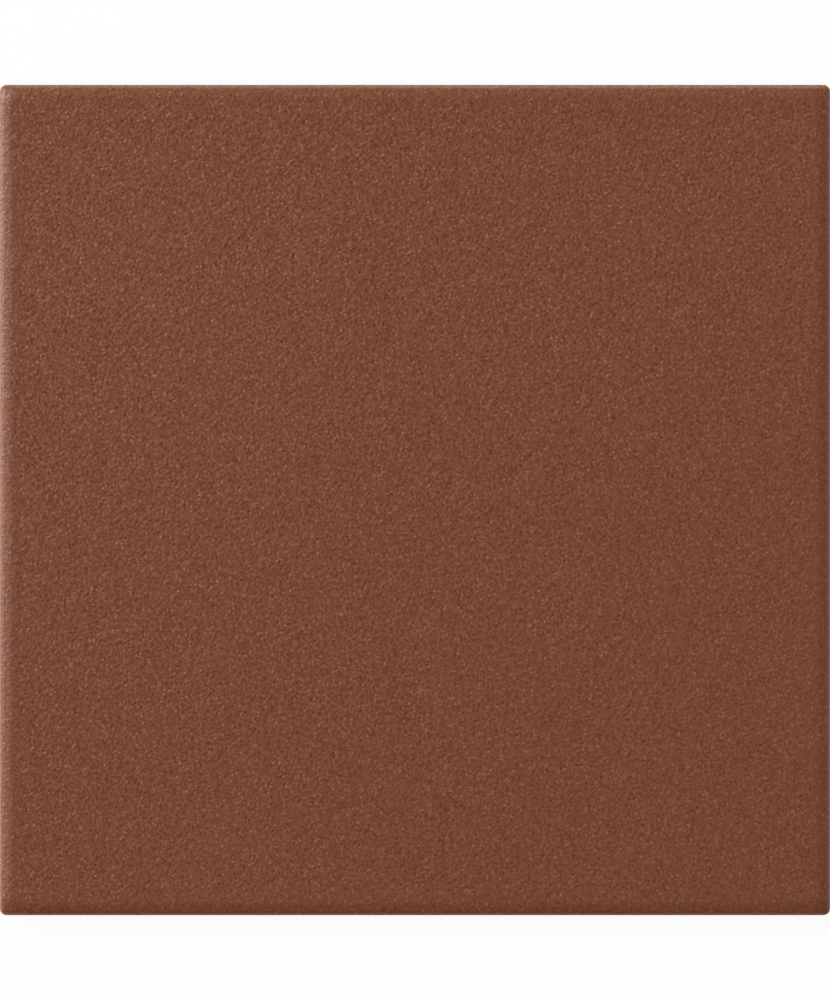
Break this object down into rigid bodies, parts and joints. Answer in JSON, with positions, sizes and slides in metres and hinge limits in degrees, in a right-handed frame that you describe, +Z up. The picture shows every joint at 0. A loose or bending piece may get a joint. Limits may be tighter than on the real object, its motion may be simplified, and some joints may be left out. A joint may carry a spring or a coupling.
{
  "type": "stoneware floor tile",
  "caption": "Square unglazed red-brown stoneware floor tile with a fine granular face, a softly pillowed rim and a back keyed for mortar with square pockets between crossing ribs.",
  "frame": {"origin": "middle of the back, on the plane of its ribs, which is the face the tile is bedded on", "axes": "+Z up through the tile to its wearing face, X and Y along its sides"},
  "size_m": [0.198, 0.198, 0.01],
  "materials": {
    "stoneware_body": "unglazed"
  },
  "bodies": {
    "root": {"tile": "stoneware_body"}
  },
  "joints": []
}
